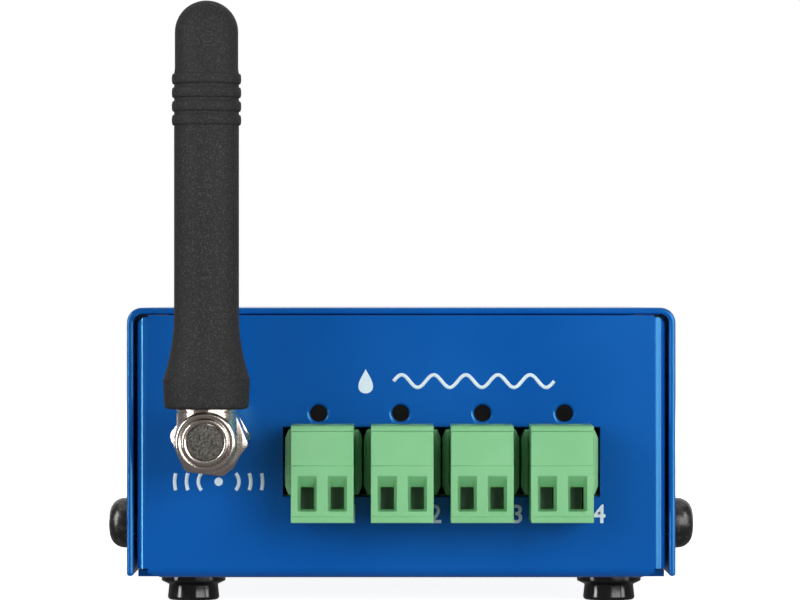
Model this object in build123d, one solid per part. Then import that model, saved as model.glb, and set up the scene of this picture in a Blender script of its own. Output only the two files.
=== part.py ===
"""Leak detection controller: a folded steel case with a stub antenna and four pluggable terminals.

Millimetres. +X is right as seen from the front, +Y runs to the rear, +Z is up.
The origin lies on the resting plane, under the middle of the whole unit, antenna included.
"""

from build123d import *
from math import asin, cos, radians, sin
import os

# Clearance around a piece that stays put in its hole
FIT = 0.03

# Front layout: shares of the width that the antenna's nut and the terminals leave free
LEFT_SHARE = 0.2975
BETWEEN_SHARE = 0.2106

# Case, two channels folded from painted steel sheet
CASE_WIDTH = 65.0
CASE_HEIGHT = 32.0
CASE_DEPTH = 80.0
SHEET = 0.8
COVER_BEND = 1.0
TRAY_BEND = 0.5
SIDE_GAP = 0.4
TOP_GAP = 0.1
COVER_SETBACK = 0.2
COVER_LIFT = 0.2
RETURN_DEPTH = 12.0
RETURN_INSET = 0.25
CORNER_CUT = 1.0
NOTCH_WIDTH = 2.9
NOTCH_HEIGHT = 1.1
NOTCH_DEPTH = 3.0

# Pan head screws through the cover sides, formed into the tray's returns
COVER_SCREW_D = 3.0
COVER_SCREW_LENGTH = 5.0
COVER_SCREW_HEIGHT = 6.2
COVER_SCREW_EDGE = 5.0
COVER_SCREW_PLAY = 0.2
PAN_HEAD_D = 6.0
PAN_HEAD_H = 2.5

# Rubber feet, stuck on
FOOT_HEIGHT = 3.2
FOOT_FLANGE_D = 7.7
FOOT_FLANGE_H = 1.1
FOOT_BODY_D = 6.2
FOOT_SIDE_INSET = 7.45
FOOT_END_INSET = 10.0

# Circuit board, slid into two plastic guides on the floor
BOARD_THICKNESS = 1.6
BOARD_MARGIN_X = 2.3
BOARD_MARGIN_Y = 0.5
BOARD_HEIGHT = 7.5
GUIDE_WALL = 1.0
GUIDE_LEDGE = 2.4
GUIDE_LIP = 1.2
GUIDE_PLAY = 0.1
GUIDE_END_GAP = 2.0

# Terminals: four channels of two poles
CHANNELS = 4
CHANNEL_GAP = 0.2
POLES = 2
POLE_PITCH = 3.5
SLOT_CLEARANCE = 0.25
HEADER_MARGIN = 2.1
HEADER_HEIGHT = 7.7
HEADER_DEPTH = 9.2
HEADER_PROUD = 1.0
HEADER_WALL = 0.85
HEADER_BACK = 1.4
HEADER_EDGE = 0.4
HEADER_SLANT_WIDE = 0.45
HEADER_SLANT_TALL = 1.0
KEY_SLOT_WIDTH = 1.2
KEY_SLOT_LENGTH = 5.0
PIN_SIZE = 0.8
PIN_HEIGHT = 3.85
PIN_START = 1.6
PIN_TURN = 0.8
PIN_FOOT = 1.2

# Plug that carries the cable clamps
PLUG_MARGIN = 0.3
PLUG_HEIGHT = 11.3
PLUG_DROP = 2.9
PLUG_REACH = 8.8
PLUG_GAP = 0.2
PLUG_TOP_EDGE = 0.3
LIP_PROUD = 0.22
LIP_TOP = 0.65
LIP_BOTTOM = 0.75
STEP_PROUD = 0.1
STEP_HEIGHT = 6.65
TONGUE_LENGTH = 7.2
TONGUE_PLAY = 0.15
WINDOW_WIDTH = 2.25
WINDOW_LOW = 1.33
WINDOW_TALL = 4.15
FUNNEL_DEPTH = 1.6
ENTRY_WIDTH = 1.55
ENTRY_LOW = 1.54
ENTRY_TALL = 2.56
ENTRY_WALL = 0.4
CHAMBER_WIDTH = 2.6
CHAMBER_DEPTH = 3.6
CHAMBER_FLOOR = 0.7
CLAMP_PLAY = 0.1
CLAMP_WALL = 0.45
CLAMP_FLOOR = 0.5
CLAMP_TOP = 1.0
CLAMP_HEADROOM = 1.35
CLAMP_SCREW_D = 2.2
CLAMP_SCREW_TALL = 2.0
CLAMP_SCREW_SLOT = 0.4
CLAMP_SCREW_SLOT_DEPTH = 0.6
CLAMP_SCREW_PLAY = 0.15
CONTACT_WIDTH = 1.4
CONTACT_BAR = 0.8
CONTACT_LEAF = 0.3
CONTACT_LEAF_LENGTH = 6.0
CONTACT_PLAY = 0.05
CONTACT_ROOM = 0.2

# Status lights: clear pipes from lights on the board to holes in the panel
LED_SPREAD = 0.4
LED_HOLE_D = 2.0
LED_LENGTH = 1.6
LED_WIDTH = 0.8
LED_THICKNESS = 0.6
PIPE_SIZE = 2.2
PIPE_GAP = 0.3
PIPE_CLEARANCE = 0.8
PIPE_BAR = 1.2

# Coaxial antenna connector through the front panel
JACK_ABOVE_BOARD = 6.8
THREAD_D = 6.35
JACK_WALL = 0.875
JACK_HOLE_PLAY = 0.075
JACK_BLOCK = 7.0
JACK_BLOCK_DEPTH = 8.0
JACK_MOUTH = 3.0
SOCKET_D = 1.3
SOCKET_LENGTH = 1.6
SOCKET_HOLE_DEPTH = 1.4
NUT_WALL = 0.825
JACK_NUT_THICKNESS = 2.2
MATING_THREAD = 6.5
MATING_GAP = 1.4
COUPLING_LENGTH = 7.4
COUPLING_BACK = 1.3
THREAD_PLAY = 0.05
NUT_TURN = -7.0

# Antenna: plated elbow and moulded sleeve
SHOULDER_STEP = 0.125
NECK_STEP = 0.45
NECK_PLAY = 0.05
ELBOW_GAP = 0.3
ELBOW_D = 7.0
ELBOW_RIM = 1.45
ELBOW_FRONT = 0.2
CAP_THICKNESS = 0.8
CAP_SUNK = 0.2
STEM_STEP = 0.05
STEM_INSERT = 4.0
CORE_STEP = 0.3
CORE_LENGTH = 1.0
CENTRE_PIN_D = 0.9
CENTRE_PIN_PLAY = 0.05
CENTRE_PIN_ENTRY = 1.2
SLEEVE_LIFT = 0.2
SLEEVE_HEIGHT = 46.8
SLEEVE_WALL = 1.55
SLEEVE_BASE_H = 3.7
FLARE_HEIGHT = 7.0
FLARE_STEPS = 2
SHAFT_D = 7.35
TIP_STEPS = 3
RIB_COUNT = 4
RIB_PITCH = 1.57
RIB_CREST = 1.05
RIB_PROUD = 0.33
RIBS_BELOW_TIP = 9.0
RADIATOR_WIDTH = 4.2
RADIATOR_THICKNESS = 0.8
RADIATOR_HEADROOM = 11.0
RADIATOR_PLAY = 0.1

# Power inlet through the rear panel
POWER_FROM_SIDE = 17.5
POWER_WALL = 1.4
POWER_DEPTH = 14.0
POWER_AXIS_HEIGHT = 6.5
POWER_BORE_D = 6.2
POWER_BORE_DEPTH = 9.5
POWER_PIN_D = 2.1
POWER_PIN_LENGTH = 8.5

# Board components: width, depth and height, and clearances to what stands next to them
RADIO_SIZE = (16.0, 18.0, 2.4)
RADIO_TO_GUIDE = 5.0
RADIO_TO_PIPES = 4.5
CHIP_SIZE = (10.0, 10.0, 1.4)
CHIP_TO_RADIO = 9.0
CHIP_TO_PIPES = 16.0
INDUCTOR_SIZE = (7.0, 7.0, 4.0)
INDUCTOR_TO_POWER = 0.6
INDUCTOR_ASIDE = 13.0

# Sizes, levels and lines worked out from the values above
PANEL_WIDTH = CASE_WIDTH - 2 * (SHEET + SIDE_GAP)
PANEL_HEIGHT = CASE_HEIGHT - SHEET - TOP_GAP
TRAY_Z = FOOT_HEIGHT
FLOOR_Z = TRAY_Z + SHEET
BOARD_Z = FLOOR_Z + BOARD_HEIGHT
BOARD_TOP = BOARD_Z + BOARD_THICKNESS
BOARD_HALF = PANEL_WIDTH / 2 - BOARD_MARGIN_X

HEADER_WIDTH = POLES * POLE_PITCH + HEADER_MARGIN
PLUG_WIDTH = POLES * POLE_PITCH + PLUG_MARGIN
CHANNEL_PITCH = HEADER_WIDTH + CHANNEL_GAP
LED_PITCH = CHANNEL_PITCH + LED_SPREAD
POLE_XS = [(pole - (POLES - 1) / 2) * POLE_PITCH for pole in range(POLES)]

NUT_AF = THREAD_D + 2 * NUT_WALL
NUT_CORNERS = NUT_AF / cos(radians(30))
ROW_WIDTH = CHANNELS * CHANNEL_PITCH - CHANNEL_GAP
SPARE_WIDTH = CASE_WIDTH - NUT_CORNERS - ROW_WIDTH
JACK_X = LEFT_SHARE * SPARE_WIDTH + NUT_CORNERS / 2 - CASE_WIDTH / 2
CHANNEL_CENTRE_X = JACK_X + NUT_CORNERS / 2 + BETWEEN_SHARE * SPARE_WIDTH + ROW_WIDTH / 2
CHANNEL_STEPS = [channel - (CHANNELS - 1) / 2 for channel in range(CHANNELS)]
CHANNEL_XS = [CHANNEL_CENTRE_X + step * CHANNEL_PITCH for step in CHANNEL_STEPS]
LED_XS = [CHANNEL_CENTRE_X + step * LED_PITCH for step in CHANNEL_STEPS]

JACK_REACH = JACK_NUT_THICKNESS + MATING_THREAD
COUPLING_START = JACK_NUT_THICKNESS + MATING_GAP
COUPLING_END = COUPLING_START + COUPLING_LENGTH
JACK_BORE_D = THREAD_D - 2 * JACK_WALL
SHOULDER_D = THREAD_D - 2 * SHOULDER_STEP
NECK_D = SHOULDER_D - 2 * NECK_STEP
STEM_D = ELBOW_D - 2 * STEM_STEP
SLEEVE_BASE_D = STEM_D + 2 * SLEEVE_WALL
ELBOW_START = COUPLING_END + ELBOW_GAP
STEM_REACH = ELBOW_START + SLEEVE_BASE_D / 2
ELBOW_END = STEM_REACH + ELBOW_D / 2 + ELBOW_FRONT
CAP_D = ELBOW_D - 2 * ELBOW_RIM
CAP_SEAT = ELBOW_END - CAP_SUNK - CAP_THICKNESS
ANTENNA_REACH = STEM_REACH + SLEEVE_BASE_D / 2

PANEL_Y = (ANTENNA_REACH - CASE_DEPTH) / 2
REAR_Y = PANEL_Y + CASE_DEPTH
MIDDLE_Y = PANEL_Y + CASE_DEPTH / 2
JACK_Z = BOARD_TOP + JACK_ABOVE_BOARD
STEM_Y = PANEL_Y - STEM_REACH
SLEEVE_Z = JACK_Z + ELBOW_D / 2 + SLEEVE_LIFT
SHOULDER_END = COUPLING_END - COUPLING_BACK - THREAD_PLAY

HEADER_Y = PANEL_Y - HEADER_PROUD
HEADER_TOP = BOARD_TOP + HEADER_HEIGHT
PIN_Z = BOARD_TOP + PIN_HEIGHT
PIN_TURN_Y = HEADER_Y + HEADER_DEPTH + PIN_TURN
PLUG_FACE = HEADER_Y - PLUG_REACH
PLUG_REAR = HEADER_Y - PLUG_GAP
PLUG_LOW = BOARD_TOP - PLUG_DROP
PLUG_TOP = PLUG_LOW + PLUG_HEIGHT
FUNNEL_Y = PLUG_FACE + LIP_PROUD - STEP_PROUD
FUNNEL_END = FUNNEL_Y + FUNNEL_DEPTH
CHAMBER_Y = FUNNEL_END + ENTRY_WALL
CHAMBER_END = CHAMBER_Y + CHAMBER_DEPTH
CHAMBER_LOW = PLUG_LOW + CHAMBER_FLOOR
CLAMP_TOP_Z = PIN_Z + CONTACT_BAR / 2 + CLAMP_HEADROOM
CHAMBER_TOP = CLAMP_TOP_Z + CLAMP_PLAY
CLAMP_SCREW_Y = CHAMBER_Y + CHAMBER_DEPTH / 2
CONTACT_TALL = PIN_SIZE + 2 * (CONTACT_PLAY + CONTACT_LEAF)

LED_Z = HEADER_TOP + PIPE_CLEARANCE + PIPE_SIZE / 2
PIPE_Y = PIN_TURN_Y + PIN_FOOT + PIPE_CLEARANCE
PIPES_BACK = PIPE_Y + PIPE_SIZE + PIPE_BAR

POWER_X = CASE_WIDTH / 2 - POWER_FROM_SIDE
POWER_WIDTH = POWER_BORE_D + 2 * POWER_WALL
POWER_HEIGHT = POWER_AXIS_HEIGHT + POWER_BORE_D / 2 + POWER_WALL
POWER_Z = BOARD_TOP + POWER_AXIS_HEIGHT

RADIO_LEFT = GUIDE_LEDGE + RADIO_TO_GUIDE - BOARD_HALF

CORNERS = [(-1, -1), (1, -1), (-1, 1), (1, 1)]


def block(x0, x1, y0, y1, z0, z1):
    """A rectangular solid between two limits on each axis."""
    return Pos((x0 + x1) / 2, (y0 + y1) / 2, (z0 + z1) / 2) * Box(x1 - x0, y1 - y0, z1 - z0)


def pair(middle, size):
    """The two limits of a size about its middle."""
    return middle - size / 2, middle + size / 2


def upright(x, y, diameter, z0, z1):
    """A round solid standing along Z."""
    return Pos(x, y, (z0 + z1) / 2) * Cylinder(diameter / 2, z1 - z0)


def level(x, z, diameter, y0, y1):
    """A round solid lying along Y."""
    return Pos(x, (y0 + y1) / 2, z) * Rot(90, 0, 0) * Cylinder(diameter / 2, y1 - y0)


def across(y, z, diameter, x0, x1):
    """A round solid lying along X, between two limits in either order."""
    return Pos((x0 + x1) / 2, y, z) * Rot(0, 90, 0) * Cylinder(diameter / 2, abs(x1 - x0))


def channel_section(width, height, bend):
    """End view of a sheet folded into a channel: a web on the local X axis and two flanges up +Y."""
    half, inside = width / 2, width / 2 - SHEET
    outline = [(-half, height), (-half, 0), (half, 0), (half, height)]
    hollow = [(inside, height), (inside, SHEET), (-inside, SHEET), (-inside, height)]
    outer = FilletPolyline(*outline, radius=bend + SHEET)
    inner = FilletPolyline(*hollow, radius=bend)
    return make_face([outer, Line(outer @ 1, inner @ 0), inner, Line(inner @ 1, outer @ 0)])


def turned(outline):
    """A solid of revolution about Z from closed points of radius and height."""
    return revolve(Plane.XZ * make_face(Polyline(*outline, close=True)), Axis.Z)


# Case


def cover_screw_places():
    """Where the cover screws sit: side of the case, and place along it."""
    inset = CASE_DEPTH / 2 - RETURN_DEPTH + COVER_SCREW_EDGE
    return [(side, MIDDLE_Y + end * inset) for side, end in CORNERS]


def end_returns(end):
    """One end panel between its notches, with the two returns bent inwards from its upright edges."""
    low = TRAY_Z + NOTCH_HEIGHT
    tall = PANEL_HEIGHT - NOTCH_HEIGHT - RETURN_INSET
    place = Pos(0, PANEL_Y, low) if end < 0 else Pos(0, REAR_Y, low) * Rot(0, 0, 180)
    return extrude(place * channel_section(PANEL_WIDTH, RETURN_DEPTH, TRAY_BEND), tall, dir=(0, 0, 1))


def corner_depth(end):
    """How far the cuts at one end of the tray reach along Y."""
    edge = MIDDLE_Y + end * CASE_DEPTH / 2
    return sorted((edge, edge - end * NOTCH_DEPTH))


def bend_strip(side, end):
    """What the blank lacks at one corner, so that the panel's upright bend is free of the floor's."""
    half = PANEL_WIDTH / 2
    x0, x1 = sorted((side * (half - TRAY_BEND - SHEET), side * half))
    return block(x0, x1, *corner_depth(end), TRAY_Z, TRAY_Z + PANEL_HEIGHT)


def corner_cut(side, end, z, width, height):
    """A slanted cut at one corner of the tray, from z upwards, or downwards where the height is negative."""
    half = PANEL_WIDTH / 2
    front, back = corner_depth(end)
    slant = Polyline((side * (half - width), z), (side * half, z), (side * half, z + height), close=True)
    return extrude(Plane.XZ.offset(-back) * make_face(slant), back - front)


def panel_openings():
    """The front panel's terminal slot, status holes and connector hole."""
    wall = (PANEL_Y, PANEL_Y + SHEET)
    reach = HEADER_WIDTH / 2 + SLOT_CLEARANCE
    cut = block(CHANNEL_XS[0] - reach, CHANNEL_XS[-1] + reach, *wall,
                BOARD_TOP - SLOT_CLEARANCE, HEADER_TOP + SLOT_CLEARANCE)
    for x in LED_XS:
        cut += level(x, LED_Z, LED_HOLE_D, *wall)
    return cut + level(JACK_X, JACK_Z, THREAD_D + 2 * JACK_HOLE_PLAY, *wall)


def power_opening():
    high = BOARD_TOP + POWER_HEIGHT + SLOT_CLEARANCE
    width = pair(POWER_X, POWER_WIDTH + 2 * SLOT_CLEARANCE)
    return block(*width, REAR_Y - SHEET, REAR_Y, BOARD_TOP - SLOT_CLEARANCE, high)


def base_tray():
    """Floor, front panel with cut top corners, and rear panel, folded from one strip, with screw returns."""
    section = Plane.YZ * Pos(MIDDLE_Y, TRAY_Z) * channel_section(CASE_DEPTH, PANEL_HEIGHT, TRAY_BEND)
    tray = extrude(section, PANEL_WIDTH / 2, both=True)
    for side, end in CORNERS:
        tray -= bend_strip(side, end) + corner_cut(side, end, TRAY_Z, NOTCH_WIDTH, NOTCH_HEIGHT)
    tray += end_returns(-1) + end_returns(1)
    for side in (-1, 1):
        tray -= corner_cut(side, -1, TRAY_Z + PANEL_HEIGHT, CORNER_CUT, -CORNER_CUT)
    for side, y in cover_screw_places():
        outer = side * PANEL_WIDTH / 2
        tray -= across(y, TRAY_Z + COVER_SCREW_HEIGHT, COVER_SCREW_D + 2 * FIT, outer, outer - side * SHEET)
    return tray - panel_openings() - power_opening()


def top_cover():
    """Roof and two sides folded from one sheet."""
    front = PANEL_Y + COVER_SETBACK
    roof = Plane(origin=(0, front, TRAY_Z + CASE_HEIGHT), x_dir=(1, 0, 0), z_dir=(0, 1, 0))
    section = roof * channel_section(CASE_WIDTH, CASE_HEIGHT - COVER_LIFT, COVER_BEND)
    cover = extrude(section, CASE_DEPTH - 2 * COVER_SETBACK)
    for side, y in cover_screw_places():
        outer = side * CASE_WIDTH / 2
        hole = COVER_SCREW_D + 2 * COVER_SCREW_PLAY
        cover -= across(y, TRAY_Z + COVER_SCREW_HEIGHT, hole, outer, outer - side * SHEET)
    return cover


def cover_screws():
    screws = []
    for side, y in cover_screw_places():
        seat = side * CASE_WIDTH / 2
        shank = across(y, TRAY_Z + COVER_SCREW_HEIGHT, COVER_SCREW_D, seat, seat - side * COVER_SCREW_LENGTH)
        head = across(y, TRAY_Z + COVER_SCREW_HEIGHT, PAN_HEAD_D, seat, seat + side * PAN_HEAD_H)
        screws.append(shank + head)
    return Compound(children=screws)


def feet():
    """Round rubber pads, each with a flange that is stuck to the floor."""
    pads = []
    for side, end in CORNERS:
        x = side * (CASE_WIDTH / 2 - FOOT_SIDE_INSET)
        y = MIDDLE_Y + end * (CASE_DEPTH / 2 - FOOT_END_INSET)
        flange = upright(x, y, FOOT_FLANGE_D, TRAY_Z - FOOT_FLANGE_H, TRAY_Z)
        pads.append(flange + upright(x, y, FOOT_BODY_D, 0, TRAY_Z))
    return Compound(children=pads)


# Circuit board


def main_board():
    inside = SHEET + BOARD_MARGIN_Y
    return block(-BOARD_HALF, BOARD_HALF, PANEL_Y + inside, REAR_Y - inside, BOARD_Z, BOARD_TOP)


def board_guide(side):
    """A plastic rail on the floor: a ledge under the board's edge, a wall beside it and a lip over it."""
    ledge, lip = BOARD_HALF - GUIDE_LEDGE, BOARD_HALF - GUIDE_LIP
    wall = BOARD_HALF + GUIDE_PLAY
    lip_low = BOARD_TOP + GUIDE_PLAY
    end_view = Polyline(
        (side * ledge, FLOOR_Z),
        (side * (wall + GUIDE_WALL), FLOOR_Z),
        (side * (wall + GUIDE_WALL), lip_low + GUIDE_WALL),
        (side * lip, lip_low + GUIDE_WALL),
        (side * lip, lip_low),
        (side * wall, lip_low),
        (side * wall, BOARD_Z),
        (side * ledge, BOARD_Z),
        close=True,
    )
    length = CASE_DEPTH - 2 * (RETURN_DEPTH + GUIDE_END_GAP)
    return extrude(Plane.XZ.offset(-MIDDLE_Y) * make_face(end_view), length / 2, both=True)


def on_board(size, left, front):
    """A rectangular component on the board, placed by its left and front faces."""
    width, depth, tall = size
    return block(left, left + width, front, front + depth, BOARD_TOP, BOARD_TOP + tall)


def radio_module():
    return on_board(RADIO_SIZE, RADIO_LEFT, PIPES_BACK + RADIO_TO_PIPES)


def controller_chip():
    return on_board(CHIP_SIZE, RADIO_LEFT + RADIO_SIZE[0] + CHIP_TO_RADIO, PIPES_BACK + CHIP_TO_PIPES)


def supply_inductor():
    front = REAR_Y - POWER_DEPTH - INDUCTOR_TO_POWER - INDUCTOR_SIZE[1]
    return on_board(INDUCTOR_SIZE, POWER_X - INDUCTOR_ASIDE - INDUCTOR_SIZE[0] / 2, front)


def power_jack():
    run = (REAR_Y - POWER_DEPTH, REAR_Y)
    body = block(*pair(POWER_X, POWER_WIDTH), *run, BOARD_TOP, BOARD_TOP + POWER_HEIGHT)
    return body - level(POWER_X, POWER_Z, POWER_BORE_D, REAR_Y - POWER_BORE_DEPTH, REAR_Y)


def power_jack_pin():
    root = REAR_Y - POWER_BORE_DEPTH
    return level(POWER_X, POWER_Z, POWER_PIN_D, root, root + POWER_PIN_LENGTH)


# Status lights


def light_pipes():
    """One clear moulding: columns over the lights, mirror slopes, arms to the panel, a tie bar on legs."""
    tip = PANEL_Y + SHEET + PIPE_GAP
    back = PIPE_Y + PIPE_SIZE
    low = BOARD_TOP + LED_THICKNESS + PIPE_GAP
    arm_low, arm_high = pair(LED_Z, PIPE_SIZE)
    side_view = Polyline(
        (tip, arm_low),
        (PIPE_Y, arm_low),
        (PIPE_Y, low),
        (back, low),
        (back, arm_low),
        (PIPE_Y, arm_high),
        (tip, arm_high),
        close=True,
    )
    pipe = extrude(Plane.YZ * make_face(side_view), PIPE_SIZE / 2, both=True)
    bar_low, bar_high = BOARD_TOP + PIPE_SIZE, BOARD_TOP + PIPE_SIZE + PIPE_BAR
    pipes = block(LED_XS[0], LED_XS[-1], PIPE_Y, back, bar_low, bar_high)
    for x in (LED_XS[0], LED_XS[-1]):
        pipes += block(*pair(x, PIPE_SIZE), back, PIPES_BACK, BOARD_TOP, bar_high)
    for x in LED_XS:
        pipes += Pos(x) * pipe
    return pipes


def status_led(x):
    y = PIPE_Y + PIPE_SIZE / 2
    return block(*pair(x, LED_LENGTH), *pair(y, LED_WIDTH), BOARD_TOP, BOARD_TOP + LED_THICKNESS)


# Terminals, each channel about its own middle line


def header():
    """A shrouded socket on the board, open to the front, with slanted corners and key slots in its roof."""
    half, back = HEADER_WIDTH / 2, HEADER_Y + HEADER_DEPTH
    inner = half - HEADER_SLANT_WIDE
    low, high = BOARD_TOP + HEADER_SLANT_TALL, HEADER_TOP - HEADER_SLANT_TALL
    front_view = Polyline(
        (-inner, BOARD_TOP),
        (inner, BOARD_TOP),
        (half, low),
        (half, high),
        (inner, HEADER_TOP),
        (-inner, HEADER_TOP),
        (-half, high),
        (-half, low),
        close=True,
    )
    shell = extrude(Plane.XZ.offset(-back) * make_face(front_view), HEADER_DEPTH)
    shell = chamfer(shell.edges().filter_by(Axis.Z).group_by(Axis.Y)[0], HEADER_EDGE)
    shell -= block(*pair(0, HEADER_WIDTH - 2 * HEADER_WALL), HEADER_Y, back - HEADER_BACK,
                   BOARD_TOP + HEADER_WALL, HEADER_TOP - HEADER_WALL)
    for x in POLE_XS:
        shell -= block(*pair(x, KEY_SLOT_WIDTH), HEADER_Y, HEADER_Y + KEY_SLOT_LENGTH,
                       HEADER_TOP - HEADER_WALL, HEADER_TOP)
        hole = PIN_SIZE + 2 * FIT
        shell -= block(*pair(x, hole), back - HEADER_BACK, back, *pair(PIN_Z, hole))
    return shell


def header_pins(middle):
    """Square pins that turn down behind the header and end in a foot soldered to the board."""
    pins = []
    leg = pair(PIN_TURN_Y, PIN_SIZE)
    for x in POLE_XS:
        width = pair(middle + x, PIN_SIZE)
        pin = block(*width, HEADER_Y + PIN_START, leg[1], *pair(PIN_Z, PIN_SIZE))
        pin += block(*width, *leg, BOARD_TOP, PIN_Z)
        pins.append(pin + block(*width, leg[0], PIN_TURN_Y + PIN_FOOT, BOARD_TOP, BOARD_TOP + PIN_SIZE))
    return Compound(children=pins)


def plug_side_view():
    """Side view of the plug's body, with a lip along the top and bottom of its face and a step between."""
    upper, lower = PLUG_FACE + LIP_PROUD, FUNNEL_Y
    step = PLUG_LOW + STEP_HEIGHT
    return make_face(Polyline(
        (PLUG_REAR, PLUG_LOW),
        (PLUG_FACE, PLUG_LOW),
        (PLUG_FACE, PLUG_LOW + LIP_BOTTOM),
        (lower, PLUG_LOW + LIP_BOTTOM),
        (lower, step),
        (upper, step),
        (upper, PLUG_TOP - LIP_TOP),
        (PLUG_FACE, PLUG_TOP - LIP_TOP),
        (PLUG_FACE, PLUG_TOP - PLUG_TOP_EDGE),
        (PLUG_FACE + PLUG_TOP_EDGE, PLUG_TOP),
        (PLUG_REAR, PLUG_TOP),
        close=True,
    ))


def wire_funnel():
    """The wire's way in: a window that narrows on all sides to a small entry."""
    window, entry = PLUG_LOW + WINDOW_LOW, PLUG_LOW + ENTRY_LOW
    side_view = Polyline(
        (FUNNEL_Y, window),
        (FUNNEL_END, entry),
        (FUNNEL_END, entry + ENTRY_TALL),
        (FUNNEL_Y, window + WINDOW_TALL),
        close=True,
    )
    plan = Polyline(
        (-WINDOW_WIDTH / 2, FUNNEL_Y),
        (WINDOW_WIDTH / 2, FUNNEL_Y),
        (ENTRY_WIDTH / 2, FUNNEL_END),
        (-ENTRY_WIDTH / 2, FUNNEL_END),
        close=True,
    )
    upright_limits = extrude(Plane.YZ * make_face(side_view), WINDOW_WIDTH / 2, both=True)
    side_limits = extrude(Pos(0, 0, window) * make_face(plan), WINDOW_TALL)
    hole = block(*pair(0, ENTRY_WIDTH), FUNNEL_END, CHAMBER_Y, entry, entry + ENTRY_TALL)
    return (upright_limits & side_limits) + hole


def pole_cavity():
    """One pole's hollow: wire funnel, clamp chamber, screw bore, and the contact's way through the tongue."""
    cavity = wire_funnel()
    cavity += block(*pair(0, CHAMBER_WIDTH), CHAMBER_Y, CHAMBER_END, CHAMBER_LOW, CHAMBER_TOP)
    cavity += upright(0, CLAMP_SCREW_Y, CLAMP_SCREW_D + 2 * CLAMP_SCREW_PLAY, CHAMBER_TOP, PLUG_TOP)
    wide, tall = CONTACT_WIDTH + 2 * CONTACT_ROOM, CONTACT_TALL + 2 * CONTACT_ROOM
    return cavity + block(*pair(0, wide), CHAMBER_END, HEADER_Y + TONGUE_LENGTH, *pair(PIN_Z, tall))


def plug_housing():
    """The moulded plug: a deep body over the cable clamps, and a keyed tongue that enters the header."""
    housing = extrude(Plane.YZ * plug_side_view(), PLUG_WIDTH / 2, both=True)
    inset = HEADER_WALL + TONGUE_PLAY
    tongue_top = HEADER_TOP - inset
    housing += block(*pair(0, HEADER_WIDTH - 2 * inset), PLUG_REAR, HEADER_Y + TONGUE_LENGTH,
                     BOARD_TOP + inset, tongue_top)
    for x in POLE_XS:
        housing += block(*pair(x, KEY_SLOT_WIDTH - 2 * TONGUE_PLAY), PLUG_REAR,
                         HEADER_Y + KEY_SLOT_LENGTH - TONGUE_PLAY, tongue_top, HEADER_TOP - TONGUE_PLAY)
    cavity = pole_cavity()
    for x in POLE_XS:
        housing -= Pos(x) * cavity
    return housing


def plug_contacts(middle):
    """Bars inside the clamps, each forked at its rear end into two leaves that grip a header pin."""
    tip = HEADER_Y + CONTACT_LEAF_LENGTH
    contacts = []
    for x in POLE_XS:
        width = pair(middle + x, CONTACT_WIDTH)
        bar = block(*width, CHAMBER_Y + CLAMP_PLAY, HEADER_Y, *pair(PIN_Z, CONTACT_BAR))
        fork = block(*width, CHAMBER_END, tip, *pair(PIN_Z, CONTACT_TALL))
        gap = PIN_SIZE + 2 * CONTACT_PLAY
        contacts.append(bar + (fork - block(*width, HEADER_Y, tip, *pair(PIN_Z, gap))))
    return Compound(children=contacts)


def plug_clamps(middle):
    """Cages that a screw draws up, so that the wire is pressed against the contact bar."""
    run = (CHAMBER_Y + CLAMP_PLAY, CHAMBER_END - CLAMP_PLAY)
    low = CHAMBER_LOW + CLAMP_PLAY
    width = CHAMBER_WIDTH - 2 * CLAMP_PLAY
    clamps = []
    for x in POLE_XS:
        cage = block(*pair(middle + x, width), *run, low, CLAMP_TOP_Z)
        inside = pair(middle + x, width - 2 * CLAMP_WALL)
        clamps.append(cage - block(*inside, *run, low + CLAMP_FLOOR, CLAMP_TOP_Z - CLAMP_TOP))
    return Compound(children=clamps)


def plug_screws(middle):
    """Slotted heads of the clamp screws, sunk in the plug's top; the thread inside the clamp is not cut."""
    top = CLAMP_TOP_Z + CLAMP_SCREW_TALL
    screws = []
    for x in POLE_XS:
        screw = upright(middle + x, CLAMP_SCREW_Y, CLAMP_SCREW_D, CLAMP_TOP_Z, top)
        slot = (*pair(middle + x, CLAMP_SCREW_D), *pair(CLAMP_SCREW_Y, CLAMP_SCREW_SLOT))
        screws.append(screw - block(*slot, top - CLAMP_SCREW_SLOT_DEPTH, top))
    return Compound(children=screws)


# Antenna and its connector, in distances out from the front panel


def out_rod(diameter, near, far):
    """A round solid on the connector's axis, between two distances out from the panel."""
    return level(JACK_X, JACK_Z, diameter, PANEL_Y - far, PANEL_Y - near)


def out_hexagon(flats, near, far, turn):
    """A hexagonal bar on the connector's axis, between two distances out from the panel."""
    outline = Pos(JACK_X, PANEL_Y - near, JACK_Z) * Rot(90, 0, 0) * Rot(0, 0, turn)
    return extrude(outline * RegularPolygon(flats / 2, 6, major_radius=False), far - near, dir=(0, -1, 0))


def antenna_jack():
    """A block on the board with a threaded barrel through the panel, bored for its insulator and the plug."""
    run = (PANEL_Y + SHEET, PANEL_Y + SHEET + JACK_BLOCK_DEPTH)
    jack = block(*pair(JACK_X, JACK_BLOCK), *run, BOARD_TOP, JACK_Z + JACK_BLOCK / 2)
    return jack + out_rod(THREAD_D, -SHEET, JACK_REACH) - out_rod(JACK_BORE_D, 0, JACK_REACH)


def jack_insulator():
    return out_rod(JACK_BORE_D - 2 * FIT, 0, JACK_REACH - JACK_MOUTH)


def jack_socket():
    """The sprung centre socket that stands in the jack's mouth."""
    root = JACK_REACH - JACK_MOUTH
    end = root + SOCKET_LENGTH
    hole = CENTRE_PIN_D + 2 * CENTRE_PIN_PLAY
    return out_rod(SOCKET_D, root, end) - out_rod(hole, end - SOCKET_HOLE_DEPTH, end)


def jack_nut():
    return out_hexagon(NUT_AF, 0, JACK_NUT_THICKNESS, 0) - out_rod(THREAD_D + 2 * FIT, 0, JACK_NUT_THICKNESS)


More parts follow.
